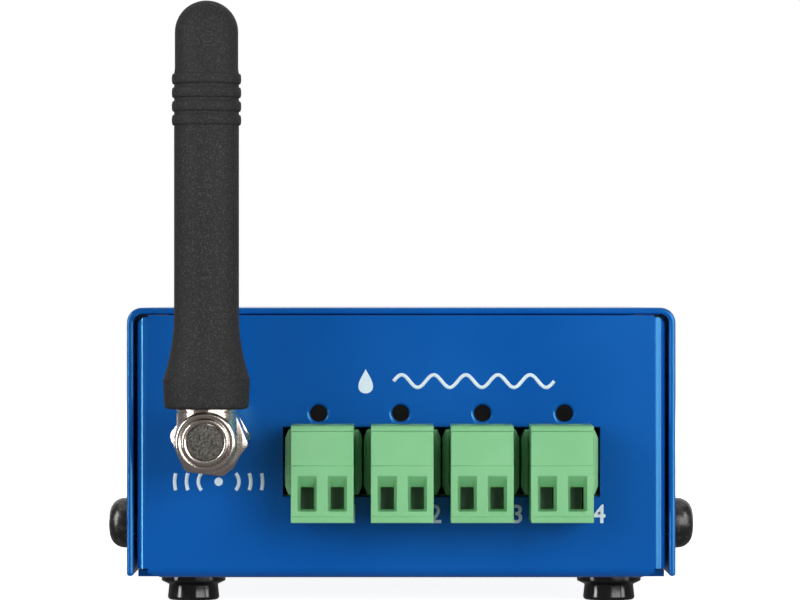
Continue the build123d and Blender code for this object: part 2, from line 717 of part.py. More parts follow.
def coupling_nut():
    """A long hexagon nut on the jack's thread, its end wall behind the elbow's shoulder."""
    seat = COUPLING_END - COUPLING_BACK
    nut = out_hexagon(NUT_AF, COUPLING_START, COUPLING_END, NUT_TURN)
    nut -= out_rod(THREAD_D + 2 * THREAD_PLAY, COUPLING_START, seat)
    return nut - out_rod(NECK_D + 2 * NECK_PLAY, seat, COUPLING_END)


def elbow_body():
    """A turned barrel with a shoulder and neck behind it, and an upright stem that carries the sleeve."""
    barrel = turned([
        (0, JACK_REACH + FIT),
        (SHOULDER_D / 2, JACK_REACH + FIT),
        (SHOULDER_D / 2, SHOULDER_END),
        (NECK_D / 2, SHOULDER_END),
        (NECK_D / 2, ELBOW_START),
        (ELBOW_D / 2, ELBOW_START),
        (ELBOW_D / 2, ELBOW_END),
        (CAP_D / 2 + FIT, ELBOW_END),
        (CAP_D / 2 + FIT, CAP_SEAT),
        (0, CAP_SEAT),
    ])
    stem = upright(JACK_X, STEM_Y, STEM_D, JACK_Z, SLEEVE_Z + STEM_INSERT)
    stem -= out_rod(ELBOW_D - FIT, ELBOW_START, ELBOW_END)
    return Pos(JACK_X, PANEL_Y, JACK_Z) * Rot(90, 0, 0) * barrel + stem


def elbow_insulator():
    return out_rod(JACK_BORE_D - 2 * CORE_STEP, JACK_REACH - CORE_LENGTH, JACK_REACH + FIT)


def elbow_pin():
    root = JACK_REACH - CORE_LENGTH
    tip = JACK_REACH - JACK_MOUTH + SOCKET_LENGTH - CENTRE_PIN_ENTRY
    return out_rod(CENTRE_PIN_D, tip, root)


def elbow_cap():
    return out_rod(CAP_D, CAP_SEAT, CAP_SEAT + CAP_THICKNESS)


def sleeve_half_view():
    """Half outline of the sleeve: base, hollow flare, ribbed shaft and tip, its curves in short steps."""
    base, shaft = SLEEVE_BASE_D / 2, SHAFT_D / 2
    flare_radius = (FLARE_HEIGHT ** 2 + (base - shaft) ** 2) / (2 * (base - shaft))
    outline = [(0, 0), (base, 0)]
    for step in range(FLARE_STEPS + 1):
        turn = asin(FLARE_HEIGHT / flare_radius) * (1 - step / FLARE_STEPS)
        height = SLEEVE_BASE_H + FLARE_HEIGHT - flare_radius * sin(turn)
        outline.append((shaft + flare_radius * (1 - cos(turn)), height))
    lowest_rib = SLEEVE_HEIGHT - RIBS_BELOW_TIP - (RIB_COUNT - 1) * RIB_PITCH
    for number in range(RIB_COUNT):
        middle = lowest_rib + number * RIB_PITCH
        outline.append((shaft, middle - RIB_PITCH / 2))
        outline += [(shaft + RIB_PROUD, height) for height in pair(middle, RIB_CREST)]
    outline.append((shaft, SLEEVE_HEIGHT - RIBS_BELOW_TIP + RIB_PITCH / 2))
    for step in range(TIP_STEPS + 1):
        turn = radians(90 * step / TIP_STEPS)
        outline.append((shaft * cos(turn), SLEEVE_HEIGHT - shaft + shaft * sin(turn)))
    return outline


def radiator_space(play):
    width = pair(JACK_X, RADIATOR_WIDTH + 2 * play)
    depth = pair(STEM_Y, RADIATOR_THICKNESS + 2 * play)
    high = SLEEVE_Z + SLEEVE_HEIGHT - RADIATOR_HEADROOM
    return block(*width, *depth, SLEEVE_Z + STEM_INSERT, high + play)


def antenna_sleeve():
    """The moulded sleeve over the elbow's stem and the radiator."""
    sleeve = Pos(JACK_X, STEM_Y, SLEEVE_Z) * turned(sleeve_half_view())
    sleeve -= upright(JACK_X, STEM_Y, STEM_D + 2 * FIT, SLEEVE_Z, SLEEVE_Z + STEM_INSERT)
    return sleeve - radiator_space(RADIATOR_PLAY)


def antenna_radiator():
    """The printed strip that does the radiating, standing on the stem."""
    return radiator_space(0)


def all_parts():
    """Every piece by the name a fitter would use."""
    parts = {
        "base_tray": base_tray(),
        "top_cover": top_cover(),
        "cover_screws": cover_screws(),
        "rubber_feet": feet(),
        "main_board": main_board(),
        "board_guide_left": board_guide(-1),
        "board_guide_right": board_guide(1),
        "radio_module": radio_module(),
        "controller_chip": controller_chip(),
        "supply_inductor": supply_inductor(),
        "power_jack": power_jack(),
        "power_jack_pin": power_jack_pin(),
        "light_pipes": light_pipes(),
        "antenna_jack": antenna_jack(),
        "jack_insulator": jack_insulator(),
        "jack_socket": jack_socket(),
        "jack_nut": jack_nut(),
        "coupling_nut": coupling_nut(),
        "elbow_body": elbow_body(),
        "elbow_insulator": elbow_insulator(),
        "elbow_pin": elbow_pin(),
        "elbow_cap": elbow_cap(),
        "antenna_sleeve": antenna_sleeve(),
        "antenna_radiator": antenna_radiator(),
    }
    for number, x in enumerate(LED_XS, start=1):
        parts[f"status_led_{number}"] = status_led(x)
    header_shape, housing_shape = header(), plug_housing()
    for number, x in enumerate(CHANNEL_XS, start=1):
        parts[f"header_{number}"] = Pos(x) * header_shape
        parts[f"header_pins_{number}"] = header_pins(x)
        parts[f"plug_housing_{number}"] = Pos(x) * housing_shape
        parts[f"plug_contacts_{number}"] = plug_contacts(x)
        parts[f"plug_clamps_{number}"] = plug_clamps(x)
        parts[f"plug_screws_{number}"] = plug_screws(x)
    return parts


os.makedirs("parts", exist_ok=True)
for name, shape in all_parts().items():
    export_step(shape, f"parts/{name}.step")
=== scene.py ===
"""The looks of a leak detection controller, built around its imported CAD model.

Objects are in metres. Outlines of turned and printed pieces are written in millimetres.
"""

from math import asin, cos, degrees, pi, radians, sin, sqrt

import bmesh
import bpy
from mathutils import Matrix, Vector


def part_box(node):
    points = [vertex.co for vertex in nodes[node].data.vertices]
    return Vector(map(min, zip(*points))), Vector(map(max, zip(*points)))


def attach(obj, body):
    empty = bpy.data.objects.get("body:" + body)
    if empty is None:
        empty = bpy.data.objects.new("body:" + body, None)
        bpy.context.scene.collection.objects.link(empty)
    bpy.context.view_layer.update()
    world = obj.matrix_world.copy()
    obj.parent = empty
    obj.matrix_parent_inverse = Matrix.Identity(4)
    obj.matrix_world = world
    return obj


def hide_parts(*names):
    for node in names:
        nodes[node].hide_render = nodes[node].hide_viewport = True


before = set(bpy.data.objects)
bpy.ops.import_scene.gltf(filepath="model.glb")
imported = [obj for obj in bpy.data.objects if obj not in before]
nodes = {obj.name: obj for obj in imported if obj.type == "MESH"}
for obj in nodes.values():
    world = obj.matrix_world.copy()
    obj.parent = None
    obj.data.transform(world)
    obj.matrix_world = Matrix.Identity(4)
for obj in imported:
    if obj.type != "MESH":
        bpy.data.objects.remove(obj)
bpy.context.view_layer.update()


# Base tray
# Floor, front panel and rear panel of the case, folded from one strip of 0.8 mm steel.
# It is powder coated in blue after folding, so every edge is softly rounded by the paint.

MM = 0.001
CHANNELS = range(1, 5)


class Wire:
    """A value in a finish's node tree. Arithmetic on it adds Math nodes."""

    def __init__(self, tree, socket=None):
        self.tree = tree
        self.socket = socket

    def node(self, kind, settings, sockets, output=0):
        """Adds a node, makes its settings, fills or links its sockets, and gives one of its outputs."""
        made = self.tree.nodes.new(kind)
        for name, value in settings.items():
            setattr(made, name, value)
        for name, value in sockets.items():
            if isinstance(value, Wire):
                self.tree.links.new(value.socket, made.inputs[name])
            else:
                made.inputs[name].default_value = value
        return Wire(self.tree, made.outputs[output] if made.outputs else None)

    def math(self, operation, left, right):
        return self.node("ShaderNodeMath", {"operation": operation}, {0: left, 1: right})

    def __add__(self, other):
        return self.math("ADD", self, other)

    def __mul__(self, other):
        return self.math("MULTIPLY", self, other)

    __radd__ = __add__
    __rmul__ = __mul__

    def between(self, low, high):
        """A colour that goes from low to high as this value goes from 0 to 1."""
        # A Mix node has its factor at 0, its colours at 6 and 7, and the mixed colour at output 2.
        sockets = {0: self, 6: (*low, 1.0), 7: (*high, 1.0)}
        return self.node("ShaderNodeMix", {"data_type": "RGBA"}, sockets, 2)


def new_finish(name):
    """A material with an empty node tree, and the wire that its nodes start from: the place on the piece."""
    material = bpy.data.materials.new(name)
    material.use_nodes = True
    material.node_tree.nodes.clear()
    start = Wire(material.node_tree)
    return material, start.node("ShaderNodeTexCoord", {}, {}, "Object")


def noise(place, grains_per_metre, detail=2.0):
    """Soft random mottling, 0 to 1, of a given fineness."""
    sockets = {"Vector": place, "Scale": grains_per_metre, "Detail": detail}
    return place.node("ShaderNodeTexNoise", {}, sockets, "Fac")


def spread(value, low, high):
    """Stretches the range from low to high of a value over 0 to 1."""
    sockets = {"Value": value, "From Min": low, "From Max": high}
    return value.node("ShaderNodeMapRange", {}, sockets, "Result")


def relief(height, depth):
    """A bumped surface normal from a height."""
    return height.node("ShaderNodeBump", {}, {"Height": height, "Distance": depth})


def close_finish(place, sockets):
    """Ends a finish in one principled surface."""
    surface = place.node("ShaderNodeBsdfPrincipled", {}, sockets)
    place.node("ShaderNodeOutputMaterial", {}, {"Surface": surface})


def powder_coat():
    """Half gloss blue powder coat with its fine orange peel."""
    material, place = new_finish("blue powder coat")
    cloud = spread(noise(place, 60.0), 0.3, 0.7)
    peel = noise(place, 2200.0, 1.0)
    cyan_shine = (0.22, 0.76, 1.0, 1.0)
    close_finish(place, {
        "Base Color": cloud.between((0.0020, 0.089, 0.405), (0.0032, 0.101, 0.445)),
        "Roughness": 0.13 + 0.05 * cloud,
        "Normal": relief(peel, 0.006 * MM),
        "Specular IOR Level": 0.9,
        "Specular Tint": cyan_shine,
    })
    return material


def show(name, mesh, body, replaced=()):
    """A finished piece: it rides on a body, and may stand for CAD nodes."""
    piece = bpy.data.objects.new(name, mesh)
    bpy.context.scene.collection.objects.link(piece)
    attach(piece, body)
    if replaced:
        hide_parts(*replaced)
    return piece


def smooth(mesh, sharp_angle=35):
    """Shades a mesh smooth, except across edges sharper than an angle in degrees."""
    mesh.shade_smooth()
    mesh.set_sharp_from_angle(angle=radians(sharp_angle))


def mesh_of(name, shape):
    """The mesh of a shape that is done."""
    mesh = bpy.data.meshes.new(name)
    shape.to_mesh(mesh)
    shape.free()
    return mesh


def eased(node, body, material, width, segments=2, share=None):
    """A copy of a CAD node with its sharp edges rounded; share gives an edge its part of the width."""
    name = node + "_eased"
    sharp = radians(30)
    flat = radians(0.5)
    same_point = 0.001 * MM
    shape = bmesh.new()
    shape.from_mesh(nodes[node].data)
    bmesh.ops.remove_doubles(shape, verts=shape.verts, dist=same_point)
    bmesh.ops.dissolve_limit(shape, angle_limit=flat, verts=shape.verts, edges=shape.edges)
    weight = shape.edges.layers.float.new("bevel_weight_edge")
    for edge in shape.edges:
        if len(edge.link_faces) == 2 and edge.calc_face_angle() > sharp:
            edge[weight] = share(edge) if share else 1.0
    mesh = mesh_of(name, shape)
    stored_normals = mesh.attributes.get("custom_normal")
    if stored_normals:
        mesh.attributes.remove(stored_normals)
    smooth(mesh)
    mesh.materials.append(material)
    piece = show(name, mesh, body, [node])
    bevel = piece.modifiers.new("Rounded edges", "BEVEL")
    bevel.limit_method = "WEIGHT"
    bevel.width = width
    bevel.segments = segments
    bevel.use_clamp_overlap = False
    bevel.loop_slide = False
    flat_faces = piece.modifiers.new("Flat faces stay flat", "WEIGHTED_NORMAL")
    flat_faces.keep_sharp = True
    return piece


BLUE = powder_coat()
PAINTED_EDGE = 0.12 * MM
LIGHT_HOLE_LIP = 0.34 * MM
LIGHT_HOLE_REACH = 1.1 * MM
LIGHT_HOLE_DROP = 1.1 * MM
ON_FACE = 0.01 * MM
tray_low, tray_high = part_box("base_tray")
panel_front = tray_low.y
light_hole_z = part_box("light_pipes")[1].z - LIGHT_HOLE_DROP
light_hole_xs = [sum(corner.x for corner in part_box(f"status_led_{channel}")) / 2 for channel in CHANNELS]


def tray_edge_share(edge):
    """On the panels' outer faces the paint rounds each edge, and the light holes' lips are deeper."""
    share = 1.0
    for end in edge.verts:
        on_front = abs(end.co.y - tray_low.y) < ON_FACE
        on_rear = abs(end.co.y - tray_high.y) < ON_FACE
        off_hole = min(sqrt((end.co.x - x) ** 2 + (end.co.z - light_hole_z) ** 2) for x in light_hole_xs)
        if on_front and off_hole < LIGHT_HOLE_REACH:
            lip = 1.0
        elif on_front or on_rear:
            lip = PAINTED_EDGE / LIGHT_HOLE_LIP
        else:
            lip = 0.0
        share = min(share, lip)
    return share


tray = eased("base_tray", "case", BLUE, LIGHT_HOLE_LIP, segments=3, share=tray_edge_share)

# The rear returns are drawn up almost level with the panel's edge, so that no light shows under the roof.
RETURN_SHORT = 0.25 * MM
RETURN_CLEAR = 0.02 * MM
for corner in tray.data.vertices:
    if corner.co.y > 0 and abs(corner.co.z - tray_high.z + RETURN_SHORT) < ON_FACE:
        corner.co.z = tray_high.z - RETURN_CLEAR


# Rubber feet
# Four black bumpers, moulded with a flange and a narrower foot, and stuck under the floor.
# Their skin is glossy where the mould was polished.


def glossy_rubber():
    """Black rubber with the gloss of a polished mould, scuffed in places."""
    material, place = new_finish("glossy black rubber")
    scuff = spread(noise(place, 400.0, 4.0), 0.45, 0.75)
    close_finish(place, {
        "Base Color": scuff.between((0.006, 0.006, 0.007), (0.012, 0.012, 0.013)),
        "Roughness": 0.12 + 0.15 * scuff,
        "Normal": relief(noise(place, 900.0), 0.006 * MM),
    })
    return material


def turned(name, outline, segments=64):
    """A mesh turned about Z from points of radius and height, given in millimetres."""
    same_point = 0.0005 * MM
    shape = bmesh.new()
    points = [shape.verts.new((radius * MM, 0, height * MM)) for radius, height in outline]
    edges = [shape.edges.new(pair) for pair in zip(points, points[1:])]
    bmesh.ops.spin(shape, geom=points + edges, axis=(0, 0, 1), cent=(0, 0, 0),
                   angle=2 * pi, steps=segments, use_merge=True)
    bmesh.ops.remove_doubles(shape, verts=shape.verts, dist=same_point)
    bmesh.ops.recalc_face_normals(shape, faces=shape.faces)
    mesh = mesh_of(name, shape)
    smooth(mesh)
    return mesh


def arc(centre, radius, start, end, steps=6):
    """Points on a round corner of an outline, from one angle to another in degrees."""
    turns = [radians(start + (end - start) * step / steps) for step in range(steps + 1)]
    return [(centre[0] + radius * cos(turn), centre[1] + radius * sin(turn)) for turn in turns]


class ShapeTree:
    """A Geometry Nodes tree with named inputs, which ends in real geometry in a given finish."""

    def __init__(self, name, inputs):
        self.tree = bpy.data.node_groups.new(name, "GeometryNodeTree")
        face = self.tree.interface
        for label, kind in {**inputs, "Finish": "Material"}.items():
            face.new_socket(label, in_out="INPUT", socket_type="NodeSocket" + kind)
        face.new_socket("Shape", in_out="OUTPUT", socket_type="NodeSocketGeometry")
        self.given = self.tree.nodes.new("NodeGroupInput").outputs

    def add(self, kind, sockets, **settings):
        """Adds a node, makes its settings, fills or links its sockets, and gives its outputs."""
        made = self.tree.nodes.new(kind)
        for name, value in settings.items():
            setattr(made, name, value)
        for name, value in sockets.items():
            if isinstance(value, bpy.types.NodeSocket):
                self.tree.links.new(value, made.inputs[name])
            else:
                made.inputs[name].default_value = value
        return made.outputs

    def close(self, geometry):
        """Ends the tree, and gives it."""
        real = self.add("GeometryNodeRealizeInstances", {"Geometry": geometry})
        sockets = {"Geometry": real["Geometry"], "Material": self.given["Finish"]}
        painted = self.add("GeometryNodeSetMaterial", sockets)
        self.tree.links.new(painted["Geometry"], self.tree.nodes.new("NodeGroupOutput").inputs["Shape"])
        return self.tree


def grid_of_copies():
    """A node tree that sets four copies of a piece on a grid, turned to face out to the sides if asked."""
    inputs = {"Piece": "Geometry", "Spacing": "Vector", "Centre": "Vector", "Face Out": "Bool"}
    grid = ShapeTree("Copies on a grid", inputs)
    given = grid.given
    spacing = grid.add("ShaderNodeSeparateXYZ", {"Vector": given["Spacing"]})
    corners = grid.add("GeometryNodeMeshGrid", {
        "Size X": spacing["X"], "Size Y": spacing["Y"], "Vertices X": 2, "Vertices Y": 2,
    })
    place = grid.add("GeometryNodeInputPosition", {})
    across = grid.add("ShaderNodeSeparateXYZ", {"Vector": place["Position"]})
    left = grid.add("ShaderNodeMath", {0: across["X"], 1: 0.0}, operation="LESS_THAN")
    asked = grid.add("ShaderNodeMath", {0: left["Value"], 1: given["Face Out"]}, operation="MULTIPLY")
    turn = grid.add("ShaderNodeMath", {0: asked["Value"], 1: pi}, operation="MULTIPLY")
    about_z = grid.add("ShaderNodeCombineXYZ", {"Z": turn["Value"]})
    copies = grid.add("GeometryNodeInstanceOnPoints", {
        "Points": corners["Mesh"], "Instance": given["Piece"], "Rotation": about_z["Vector"],
    })
    placed = grid.add("GeometryNodeTransform", {
        "Geometry": copies["Instances"], "Translation": given["Centre"],
    })
    return grid.close(placed["Geometry"])


def plain_mesh(name, maker):
    """The plain mesh that an object gives with its modifiers. The object itself is taken away."""
    bpy.context.scene.collection.objects.link(maker)
    done = maker.evaluated_get(bpy.context.evaluated_depsgraph_get())
    mesh = bpy.data.meshes.new_from_object(done)
    mesh.name = name
    bpy.data.objects.remove(maker)
    return mesh


def grown(name, mesh, tree, values):
    """The plain mesh that a node tree makes of a mesh, with the tree's named inputs set."""
    maker = bpy.data.objects.new(name + "_maker", mesh)
    modifier = maker.modifiers.new("Tree", "NODES")
    modifier.node_group = tree
    for item in tree.interface.items_tree:
        if item.item_type == "SOCKET" and item.in_out == "INPUT" and item.name in values:
            modifier[item.identifier] = values[item.name]
    return plain_mesh(name, maker)


FOOT_FLANGE_RADIUS = 3.85
FOOT_BODY_RADIUS = 3.1
FOOT_HEIGHT = 3.2
FOOT_ROUND = 0.4
FOOT_RIM = 0.8
FOOT_RIM_ROUND = 0.15
FOOT_SLANT = 0.55
FOOT_SLANT_ANGLE = 55
FOOT_WAIST_ROUND = 0.2
FOOT_WAIST_DROP = 0.1
FOOT_LEAN = 0.15
FOOT_LEAN_ANGLE = 6
SOLE_RING = 1.0
SOLE_HOLLOW = 1.25
SOLE_DEPTH = 0.12
rim_low = FOOT_HEIGHT - FOOT_RIM
waist = (FOOT_BODY_RADIUS - FOOT_LEAN + FOOT_WAIST_ROUND, rim_low - FOOT_SLANT - FOOT_WAIST_DROP)
foot_outline = [(0, FOOT_HEIGHT), (FOOT_FLANGE_RADIUS, FOOT_HEIGHT)]
foot_outline += arc((FOOT_FLANGE_RADIUS - FOOT_RIM_ROUND, rim_low), FOOT_RIM_ROUND, 0, -FOOT_SLANT_ANGLE)
foot_outline += arc(waist, FOOT_WAIST_ROUND, 180 - FOOT_SLANT_ANGLE, 180 - FOOT_LEAN_ANGLE)
foot_outline += arc((FOOT_BODY_RADIUS - FOOT_ROUND, FOOT_ROUND), FOOT_ROUND, FOOT_LEAN_ANGLE, -90)
foot_outline += [(FOOT_BODY_RADIUS - SOLE_RING, 0), (FOOT_BODY_RADIUS - SOLE_HOLLOW, SOLE_DEPTH)]
foot_outline.append((0, SOLE_DEPTH))
GRID = grid_of_copies()
foot_low, foot_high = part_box("rubber_feet")
foot_middle = (foot_low + foot_high) / 2
feet_mesh = grown("rubber_feet_moulded", turned("foot", foot_outline), GRID, {
    "Spacing": foot_high - foot_low - 2 * FOOT_FLANGE_RADIUS * MM * Vector((1, 1, 0)),
    "Centre": (foot_middle.x, foot_middle.y, 0.0),
    "Finish": glossy_rubber(),
})
smooth(feet_mesh)
show("rubber_feet_moulded", feet_mesh, "case", ["rubber_feet"])


# Board, guides and components
# A glass-fibre board slides into two black rails on the floor. A screened radio module, a controller
# chip and a supply inductor stand for its small parts. All of it is closed in by the case.


def solder_mask():
    """Green solder mask over the weave of the board."""
    material, place = new_finish("green solder mask")
    weave = noise(place, 1500.0, 3.0)
    close_finish(place, {
        "Base Color": weave.between((0.010, 0.075, 0.030), (0.016, 0.11, 0.045)),
        "Roughness": 0.35 + 0.1 * weave,
    })
    return material


def moulded_black():
    """Black moulded plastic with a fine grain."""
    material, place = new_finish("moulded black plastic")
    grain = noise(place, 3000.0)
    close_finish(place, {
        "Base Color": grain.between((0.009, 0.009, 0.010), (0.018, 0.018, 0.019)),
        "Roughness": 0.42 + 0.12 * grain,
        "Normal": relief(grain, 0.008 * MM),
    })
    return material


def tin_plate():
    """Dull tin plate, with the faint drag marks of stamping."""
    material, place = new_finish("tin plate")
    drawn_out = (1.0, 0.15, 1.0)
    drawn = place.node("ShaderNodeMapping", {}, {"Vector": place, "Scale": drawn_out})
    marks = noise(drawn, 5000.0, 3.0)
    close_finish(place, {
        "Base Color": marks.between((0.52, 0.52, 0.50), (0.68, 0.68, 0.65)),
        "Metallic": 1.0,
        "Roughness": 0.28 + 0.2 * marks,
    })
    return material


def dress(node, material):
    """Gives a CAD node that keeps its shape a finish."""
    nodes[node].data.materials.clear()
    nodes[node].data.materials.append(material)


MASK = solder_mask()
BLACK = moulded_black()
TIN = tin_plate()
dress("main_board", MASK)
dress("radio_module", TIN)
for inner_piece in ("board_guide_left", "board_guide_right", "controller_chip", "supply_inductor"):
    dress(inner_piece, BLACK)


# Power inlet
# A moulded barrel socket on the board, flush with the opening in the rear panel.
# A nickel plated pin stands in its bore.


def nickel_plate():
    """Bright nickel over brass, a little warm, with fine turning marks and handling scuffs."""
    material, place = new_finish("nickel plate")
    scuff = spread(noise(place, 700.0, 5.0), 0.4, 0.7)
    grain = noise(place, 6000.0)
    close_finish(place, {
        "Base Color": scuff.between((0.64, 0.58, 0.53), (0.46, 0.41, 0.36)),
        "Metallic": 1.0,
        "Roughness": 0.14 + 0.16 * scuff + 0.06 * grain,
        "Normal": relief(grain, 0.012 * MM),
    })
    return material


NICKEL = nickel_plate()
INLET_EDGE = 0.2 * MM
INLET_PIN_TIP = 0.25 * MM
eased("power_jack", "case", BLACK, INLET_EDGE)
eased("power_jack_pin", "case", NICKEL, INLET_PIN_TIP, segments=3)


# Terminal headers
# Shrouded sockets in light green plastic stand side by side in the panel's slot, soldered to the board.
# Each holds two square tinned pins.


def terminal_plastic():
    """Light green moulded plastic, faintly waxy, with a fine spark-eroded grain."""
    material, place = new_finish("light green plastic")
    flow = spread(noise(place, 120.0), 0.35, 0.65)
    grain = noise(place, 4500.0, 1.0)
    close_finish(place, {
        "Base Color": flow.between((0.205, 0.545, 0.245), (0.235, 0.585, 0.275)),
        "Roughness": 0.42 + 0.1 * grain,
        "Normal": relief(grain, 0.006 * MM),
        "Subsurface Weight": 0.06,
        "Subsurface Scale": 0.6 * MM,
    })
    return material


GREEN = terminal_plastic()
HEADER_EDGE = 0.1 * MM
for channel in CHANNELS:
    eased(f"header_{channel}", "case", GREEN, HEADER_EDGE)
    dress(f"header_pins_{channel}", TIN)


# Status lights
# Four small lights on the board shine into one clear moulding, which leads the light to the panel's holes.
# Its colour is painted dark as the shade inside the case, so that unlit, the holes look almost black.


def smoky_plastic():
    """Clear plastic with a faint haze, its colour painted dark as the shade inside the case."""
    material, place = new_finish("clear plastic painted dark as shade")
    haze = noise(place, 300.0)
    close_finish(place, {
        "Base Color": haze.between((0.03, 0.05, 0.04), (0.05, 0.075, 0.06)),
        "Roughness": 0.05 + 0.06 * haze,
        "Transmission Weight": 1.0,
        "IOR": 1.49,
        "Specular IOR Level": 0.15,
    })
    return material


def light_lens():
    """The pale lens of a light that is off."""
    material, place = new_finish("unlit lens")
    cloud = noise(place, 800.0)
    close_finish(place, {
        "Base Color": cloud.between((0.60, 0.60, 0.46), (0.72, 0.72, 0.58)),
        "Roughness": 0.25 + 0.1 * cloud,
    })
    return material


LENS = light_lens()
# The light pipes' dark colour is painted shade.
dress("light_pipes", smoky_plastic())
for channel in CHANNELS:
    dress(f"status_led_{channel}", LENS)


# Antenna jack
# A coaxial jack stands on the board, and its threaded barrel passes through the panel, where a hexagon
# nut clamps it. A white insulator and a gold plated socket show only when the antenna is off.


def gold_plate():
    """Thin gold plate with fine turning marks."""
    material, place = new_finish("gold plate")
    grain = noise(place, 4000.0)
    close_finish(place, {
        "Base Color": grain.between((0.80, 0.55, 0.20), (0.88, 0.64, 0.28)),
        "Metallic": 1.0,
        "Roughness": 0.18 + 0.1 * grain,
    })
    return material


def white_insulator():
    """White insulating plastic, slightly mottled."""
    material, place = new_finish("white insulator")
    grain = noise(place, 2500.0)
    close_finish(place, {
        "Base Color": grain.between((0.76, 0.76, 0.74), (0.84, 0.84, 0.82)),
        "Roughness": 0.45 + 0.1 * grain,
    })
    return material


# The jack's axis runs through the middle of the disc in the elbow's front end.
jack_low, jack_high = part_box("elbow_cap")
jack_x = (jack_low.x + jack_high.x) / 2
jack_z = (jack_low.z + jack_high.z) / 2
JACK_RADIUS = 3.175
JACK_NUT_LENGTH = 2.2
JACK_NUT_CLEARANCE = 0.03
NUT_FLATS = 8.0
NUT_CORNERS = NUT_FLATS / 2 / cos(pi / 6)
NUT_CORNER_OFF = 0.14
NUT_FACE_OFF = 0.05
NUT_CHAMFER_RISE = 0.75
THREAD_START = 2.3
THREAD_LENGTH = 6.1
THREAD_PITCH = 0.7
THREAD_RIDGE = 0.16
THREAD_SINK = 0.13


def cleaned(mesh):
    """A mesh with doubled points merged, flat slivers dropped and its faces turned outward."""
    same_point = 0.002 * MM
    shape = bmesh.new()
    shape.from_mesh(mesh)
    bmesh.ops.remove_doubles(shape, verts=shape.verts, dist=same_point)
    bmesh.ops.dissolve_degenerate(shape, edges=shape.edges, dist=same_point)
    bmesh.ops.connect_verts_concave(shape, faces=shape.faces)
    bmesh.ops.recalc_face_normals(shape, faces=shape.faces)
    shape.to_mesh(mesh)
    shape.free()
    return mesh


def combined(name, body_mesh, operation, tool_mesh):
    """One mesh cut by another or joined with it, as solids."""
    body = bpy.data.objects.new(name + "_body", body_mesh)
    tool = bpy.data.objects.new(name + "_tool", tool_mesh)
    bpy.context.scene.collection.objects.link(tool)
    cut = body.modifiers.new("Cut", "BOOLEAN")
    cut.operation = operation
    cut.solver = "EXACT"
    cut.use_self = True
    cut.object = tool
    mesh = plain_mesh(name, body)
    bpy.data.objects.remove(tool)
    return cleaned(mesh)


def prism(name, corners, rise):
    """A solid between a flat outline and the same outline moved by a vector."""
    shape = bmesh.new()
    base = shape.faces.new([shape.verts.new(corner) for corner in corners])
    risen = bmesh.ops.extrude_face_region(shape, geom=[base])["geom"]
    lifted = [part for part in risen if isinstance(part, bmesh.types.BMVert)]
    bmesh.ops.translate(shape, vec=rise, verts=lifted)
    bmesh.ops.recalc_face_normals(shape, faces=shape.faces)
    return mesh_of(name, shape)


def chamfered_nut(name, length, bore, turn):
    """A hexagon nut on Z whose corners are turned off at both ends, bored through, turned by some degrees."""
    corner = NUT_CORNERS - NUT_CORNER_OFF
    face = NUT_FLATS / 2 - NUT_FACE_OFF
    slope = (corner - face) * NUT_CHAMFER_RISE
    ring = turned(name + "_ring", [
        (bore, 0.0), (face, 0.0), (corner, slope), (corner, length - slope),
        (face, length), (bore, length), (bore, 0.0),
    ])
    turns = [radians(60 * number + turn) for number in range(6)]
    hexagon = [(NUT_CORNERS * cos(angle) * MM, NUT_CORNERS * sin(angle) * MM, 0) for angle in turns]
    mesh = combined(name, ring, "INTERSECT", prism(name + "_bar", hexagon, (0, 0, length * MM)))
    smooth(mesh, sharp_angle=20)
    mesh.materials.append(NICKEL)
    return mesh


def out_of_panel(mesh, distance=0.0):
    """Moves a mesh that stands on Z to the jack's axis, a distance in millimetres out from the panel."""
    place = Matrix.Translation((jack_x, panel_front - distance * MM, jack_z))
    mesh.transform(place @ Matrix.Rotation(radians(90), 4, "X"))
    return mesh


def thread_tree():
    """A node tree that winds a thread's ridge along Z."""
    inputs = {"Radius": "Float", "Length": "Float", "Turns": "Float", "Ridge": "Float"}
    thread = ShapeTree("Screw thread", inputs)
    given = thread.given
    coil = thread.add("GeometryNodeCurveSpiral", {
        "Resolution": 48, "Rotations": given["Turns"], "Height": given["Length"],
        "Start Radius": given["Radius"], "End Radius": given["Radius"],
    })
    profile = thread.add("GeometryNodeCurvePrimitiveCircle", {"Resolution": 4, "Radius": given["Ridge"]})
    ridge = thread.add("GeometryNodeCurveToMesh", {
        "Curve": coil["Curve"], "Profile Curve": profile["Curve"], "Fill Caps": True,
    })
    return thread.close(ridge["Mesh"])


INSULATOR = white_insulator()
GOLD = gold_plate()
dress("antenna_jack", NICKEL)
dress("jack_socket", GOLD)
dress("jack_insulator", INSULATOR)
nut_mesh = chamfered_nut("jack_nut_chamfered", JACK_NUT_LENGTH, JACK_RADIUS + JACK_NUT_CLEARANCE, 0)
show("jack_nut_chamfered", out_of_panel(nut_mesh), "case", ["jack_nut"])
thread_mesh = grown("jack_thread", bpy.data.meshes.new("thread_start"), thread_tree(), {
    "Radius": (JACK_RADIUS - THREAD_SINK) * MM,
    "Length": THREAD_LENGTH * MM,
    "Turns": THREAD_LENGTH / THREAD_PITCH,
    "Ridge": THREAD_RIDGE * MM,
    "Finish": NICKEL,
})
show("jack_thread", out_of_panel(thread_mesh, THREAD_START), "case")


# Top cover
# The case's roof and sides, folded from one sheet of the same steel and coated in the same blue.
# It slips over the tray's returns and is held by screws through its sides.

COVER_EDGE = 0.34 * MM
eased("top_cover", "case", BLUE, COVER_EDGE, segments=4)


# Cover screws
# Black pan head screws with a cross recess, two in each side of the cover.
# They screw straight into the tray's returns.


